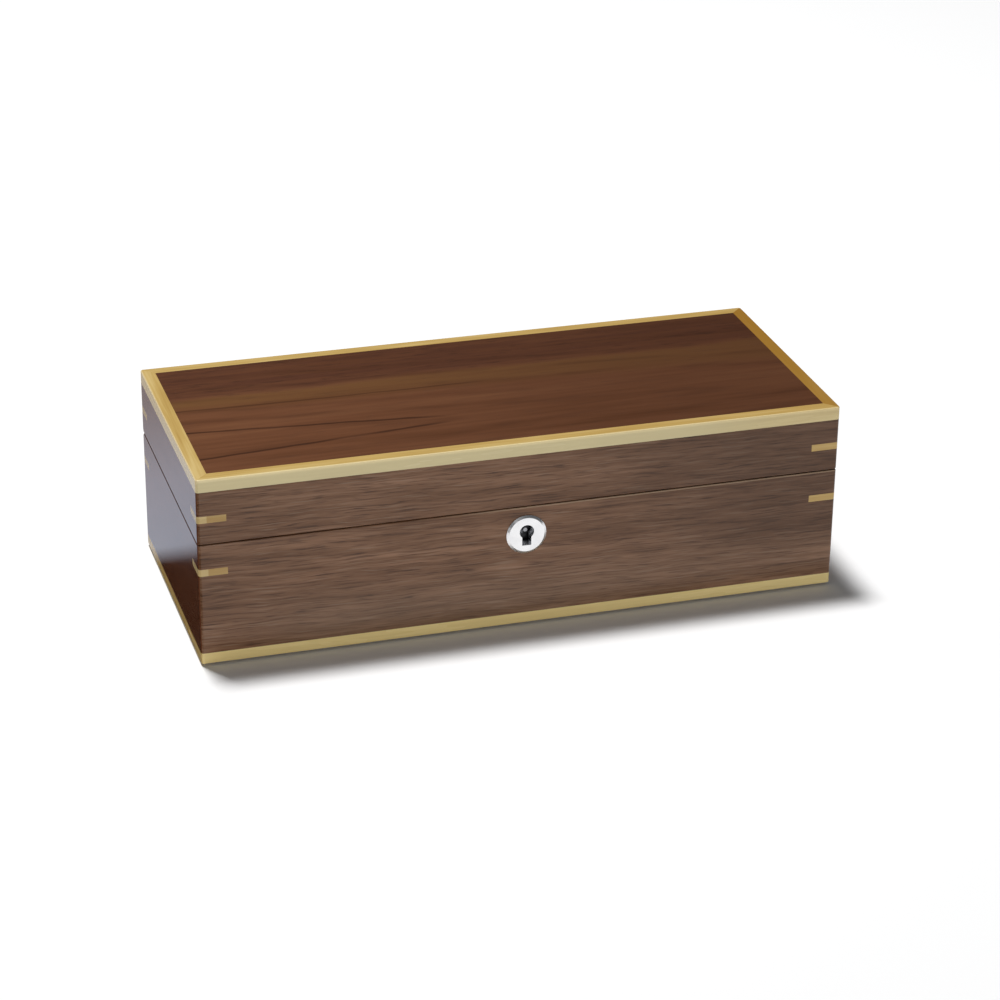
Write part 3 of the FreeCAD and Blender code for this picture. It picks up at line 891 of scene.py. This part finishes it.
def makeCushion(look):
    low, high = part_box("watch_cushion_3")
    middle = (low + high) / 2
    half = (high.x - low.x) / 2 - look["clear"]
    depth = (high.y - low.y) / 2 * look["startShare"]
    height = (high.z - low.z) * look["startShare"]
    foot = low.z + look["floorGap"]
    rings, count = cushionRings(look, half), look["around"]
    points, faces = [], ringFaces(len(rings), count)
    for x, share, rise in rings:
        for across, up in cushionOutline(look):
            z = foot + (rise + up * share) * height
            points.append((middle.x + x, middle.y + across * depth * share, z))
    for first in (0, (len(rings) - 1) * count):  # closes the end panels
        ring = [Vector(p) for p in points[first:first + count]]
        points.append(tuple(sum(ring, Vector()) / count))
        faces += [(len(points) - 1, first + i, first + (i + 1) % count) for i in range(count)]
    piece = addPiece("cushionCover", meshFrom("cushionCover", points, faces))
    vertices = piece.data.vertices

    def ringPoints(ring):
        return range(ring * count, (ring + 1) * count)

    seams = (look["alongEnd"] - 1, look["alongEnd"] - 1 + look["alongWrap"])
    standing = [v.index for v in vertices if v.co.z < foot + look["standing"]]
    pinned = sorted({*ringPoints(seams[0]), *ringPoints(seams[1]), *standing})
    inflated(piece, pinned, look)
    last = len(rings) - look["calmRings"]
    calm = [*range(look["calmRings"] * count), *range(last * count, len(points))]
    calmed(piece.data, calm, look["calmRounds"])
    vertices = piece.data.vertices  # the simulation leaves a new mesh
    for vertex in vertices:  # stays inside its compartment and on its floor
        vertex.co.x = min(max(vertex.co.x, low.x + look["clear"]), high.x - look["clear"])
        vertex.co.z = max(vertex.co.z, foot)
    rows = (seams[0] + look["stitchRing"], seams[1] - look["stitchRing"])
    seamLoops = [[vertices[i].co.copy() for i in ringPoints(ring)] for ring in seams]
    rowLoops = [[vertices[i].co.copy() for i in ringPoints(ring)] for ring in rows]
    subdivided(piece)
    smooth(piece.data)
    return piece, seamLoops, rowLoops


cushionStart, cushionSeams, cushionRows = makeCushion(cushionLook)
cushionHome = sum(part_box("watch_cushion_3"), Vector()) / 2
for number in range(1, cushionLook["count"] + 1):
    node = f"watch_cushion_{number}"
    home = sum(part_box(node), Vector()) / 2
    turn = math.pi if number % 2 == 0 else 0.0  # every second one is turned end for end
    move = Matrix.Translation(home) @ Matrix.Rotation(turn, 4, "Z")
    move = move @ Matrix.Translation(-cushionHome)
    mesh = cushionStart.data.copy()
    mesh.transform(move)
    mesh.materials.clear()
    mesh.materials.append(finishes["cushionVelvet"])
    cover = addPiece(f"watchCushion{number}", mesh)
    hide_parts(node)
    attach(cover, f"cushion_{number}")
    seams = [[move @ p for p in loop] for loop in cushionSeams]
    rows = [[move @ p for p in loop] for loop in cushionRows]
    trim = sewing(f"cushionSewing{number}", seams, rows, finishes["cushionVelvet"])
    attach(trim, f"cushion_{number}")
bpy.data.objects.remove(cushionStart)
print("cushions made")


# lid pad: a thin padded panel, crowned downwards

padLook = {
    "along": 150,
    "across": 56,
    "edge": 0.0012,
    "crown": 0.0026,
    "round": 0.014,
    "swellPower": 2.4,
    "backGap": 0.00005,
    "stitchInset": 2,
    "cordInset": 0.0016,
    "pressure": 4.0,
    "cap": 0.0016,
    "slack": 0.06,
}


def makePad(look):
    low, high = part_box("lid_pad")
    middle, half = (low + high) / 2, (high - low) / 2
    nx, ny = look["along"], look["across"]
    row = nx + 1
    points, faces = [], []
    for j in range(ny + 1):
        for i in range(nx + 1):
            s, t = 2 * i / nx - 1, 2 * j / ny - 1
            inset = min((1 - abs(s)) * half.x, (1 - abs(t)) * half.y)
            swell = 1 - (1 - min(inset / look["round"], 1)) ** look["swellPower"]
            z = high.z - look["edge"] - look["crown"] * swell
            points.append((middle.x + s * half.x, middle.y + t * half.y, z))
    for j in range(ny):
        for i in range(nx):
            a = j * row + i
            faces.append((a, a + row, a + row + 1, a + 1))  # faces down

    def gridLoop(inset):
        right, last = nx - inset, ny - inset
        spots = [(i, inset) for i in range(inset, right)]
        spots += [(right, j) for j in range(inset, last)]
        spots += [(i, last) for i in range(right, inset, -1)]
        spots += [(inset, j) for j in range(last, inset, -1)]
        return [j * row + i for i, j in spots]

    mesh = bpy.data.meshes.new("lidPad")
    mesh.from_pydata(points, [], faces)
    piece = addPiece("lidPad", mesh)
    border = gridLoop(0)
    inflated(piece, sorted(border), look)
    vertices = piece.data.vertices
    for vertex in vertices:
        vertex.co.z = max(vertex.co.z, low.z)
    rim = [vertices[i].co.copy() for i in border]
    stitchLine = [vertices[i].co.copy() for i in gridLoop(look["stitchInset"])]
    work = bmesh.new()
    work.from_mesh(piece.data)
    top = [work.verts.new((p.x, p.y, high.z - look["backGap"])) for p in rim]
    work.verts.ensure_lookup_table()
    for i in range(len(border)):
        k = (i + 1) % len(border)
        work.faces.new((work.verts[border[i]], work.verts[border[k]], top[k], top[i]))
    work.faces.new(top)
    bmesh.ops.recalc_face_normals(work, faces=work.faces)
    work.to_mesh(piece.data)
    work.free()
    smooth(piece.data)
    piece.data.materials.append(finishes["velvet"])
    return piece, rim, stitchLine


lidPad, padRim, padStitches = makePad(padLook)
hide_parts("lid_pad")
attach(lidPad, "lid")
padReach = [max(abs(p[i]) for p in padRim) for i in range(2)]
padShrink = [1 - padLook["cordInset"] / reach for reach in padReach]
padCord = [Vector((p.x * padShrink[0], p.y * padShrink[1], p.z)) for p in padRim]
padSewing = sewing("lidPadSewing", [padCord], [padStitches], finishes["velvet"])
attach(padSewing, "lid")
print("lid pad made")


# felt under the box

feltLook = {"round": 0.002, "steps": 5, "edge": 0.00025}


def makeFelt(look):
    low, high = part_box("base_felt")
    middle, half = (low + high) / 2, (high - low) / 2
    edge, steps = look["edge"], look["steps"]
    rings = [(edge, low.z), (0.0, low.z + edge), (0.0, high.z - edge), (edge, high.z)]
    points = []
    for inset, z in rings:
        radius = look["round"] - inset
        for quarter, (sx, sy) in enumerate(((1, 1), (-1, 1), (-1, -1), (1, -1))):
            for step in range(steps + 1):
                angle = math.pi / 2 * (quarter + step / steps)
                x = middle.x + sx * (half.x - look["round"]) + math.cos(angle) * radius
                y = middle.y + sy * (half.y - look["round"]) + math.sin(angle) * radius
                points.append((x, y, z))
    count = 4 * (steps + 1)
    faces = [tuple(range(count)), tuple(range(3 * count, 4 * count))]
    mesh = meshFrom("feltSheet", points, faces + ringFaces(len(rings), count))
    mesh.materials.append(finishes["felt"])
    return addPiece("feltSheet", mesh)


feltSheet = makeFelt(feltLook)
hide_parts("base_felt")
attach(feltSheet, "base")
print("felt made")


# stage

stageLook = {
    "floorSize": 24.0,
    "floorHeight": -0.0003,
    "floorShader": {"Base Color": (0.92, 0.92, 0.92, 1.0), "Roughness": 0.9, "Specular IOR Level": 0.0},
    "sky": (0.96, 0.98, 1.0, 1.0),
    "skyStrength": 0.10,
    "lamps": {
        "key": {"from": (-0.40, 0.78, 3.80), "to": (0, 0, 0.05), "size": 0.60, "power": 156.0},
        "fill": {"from": (-0.30, -5.25, 0.62), "to": (0, 0, 0.04), "size": 2.2, "power": 109.0},
    },
}

cardLooks = {  # two opposite corners, and colours that blend from place to place along y
    "cardBeside": {
        "corners": [(-0.90, -0.50, 0.0006), (-0.1602, 0.90, 0.0006)],
        "tones": [
            (0.042, (0.015, 0.008, 0.006, 1.0)),
            (0.061, (0.58, 0.65, 0.78, 1.0)),
            (0.140, (0.57, 0.59, 0.69, 1.0)),
            (0.250, (0.40, 0.36, 0.37, 1.0)),
        ],
    },
    "cardBehind": {
        "corners": [(-6.0, 5.0, 0.4), (6.0, 5.0, 6.5)],
        "tones": [(5.0, (0.02, 0.02, 0.02, 1.0))],
    },
}

cameraLook = {
    "location": (-0.39156, -1.30154, 0.67703),
    "right": (0.95737, -0.28867, 0.01013),
    "down": (-0.11441, -0.41117, -0.90435),
    "focalPixels": 2992.1,
    "framePixels": 1000,
    "sensor": 36.0,
    "clipEnd": 50.0,
}


def makePlane(name, corners, finish):
    (x0, y0, z0), (x1, y1, z1) = corners
    points = [(x0, y0, z0), (x1, y0, z0), (x1, y1, z1), (x0, y1, z1)]
    plane = addPiece(name, meshFrom(name, points, [(0, 1, 2, 3)]))
    plane.data.materials.append(finish.material)
    return plane


def makeFloor(look):
    half, z = look["floorSize"] / 2, look["floorHeight"]
    finish = Finish("studioFloor", look["floorShader"])
    floor = makePlane("floor", [(-half, -half, z), (half, half, z)], finish)


def cardColour(finish, tones):
    if len(tones) == 1:
        return tones[0][1]
    first, last = tones[0][0], tones[-1][0]
    stops = [((place - first) / (last - first), tone) for place, tone in tones]
    return finish.ramp((finish.place()[1] - first) / (last - first), stops)


def makeCard(name, look):  # seen only in reflections
    finish = Finish(name, {"Roughness": 1.0, "Specular IOR Level": 0.0})
    finish.set("Base Color", cardColour(finish, look["tones"]))
    card = makePlane(name, look["corners"], finish)
    card.visible_camera = False
    card.visible_diffuse = False
    card.visible_shadow = False
    card.visible_transmission = False


def makeLamp(name, look):
    light = bpy.data.lights.new(name, "AREA")
    light.shape = "SQUARE"
    light.size = look["size"]
    light.energy = look["power"]
    place = Vector(look["from"])
    holder = bpy.data.objects.new(name, light)
    holder.location = place
    holder.rotation_euler = (Vector(look["to"]) - place).to_track_quat("-Z", "Y").to_euler()
    bpy.context.scene.collection.objects.link(holder)


def makeWorld(look):
    world = bpy.data.worlds.new("studio")
    world.use_nodes = True
    shade = world.node_tree.nodes["Background"]
    shade.inputs["Color"].default_value = look["sky"]
    shade.inputs["Strength"].default_value = look["skyStrength"]
    bpy.context.scene.world = world


def makeCamera(look):
    lens = bpy.data.cameras.new("camera")
    lens.sensor_fit = "HORIZONTAL"
    lens.sensor_width = look["sensor"]
    lens.lens = look["focalPixels"] / look["framePixels"] * look["sensor"]
    lens.clip_end = look["clipEnd"]
    holder = bpy.data.objects.new("camera", lens)
    right = Vector(look["right"]).normalized()
    up = -Vector(look["down"]).normalized()
    back = right.cross(up)
    turn = Matrix((right, up, back)).transposed().to_4x4()
    holder.matrix_world = Matrix.Translation(look["location"]) @ turn
    bpy.context.scene.collection.objects.link(holder)
    bpy.context.scene.camera = holder


makeFloor(stageLook)
for name, look in cardLooks.items():
    makeCard(name, look)
for name, look in stageLook["lamps"].items():
    makeLamp(name, look)
makeWorld(stageLook)
makeCamera(cameraLook)
bpy.context.scene.view_settings.view_transform = "Standard"
print("stage set")
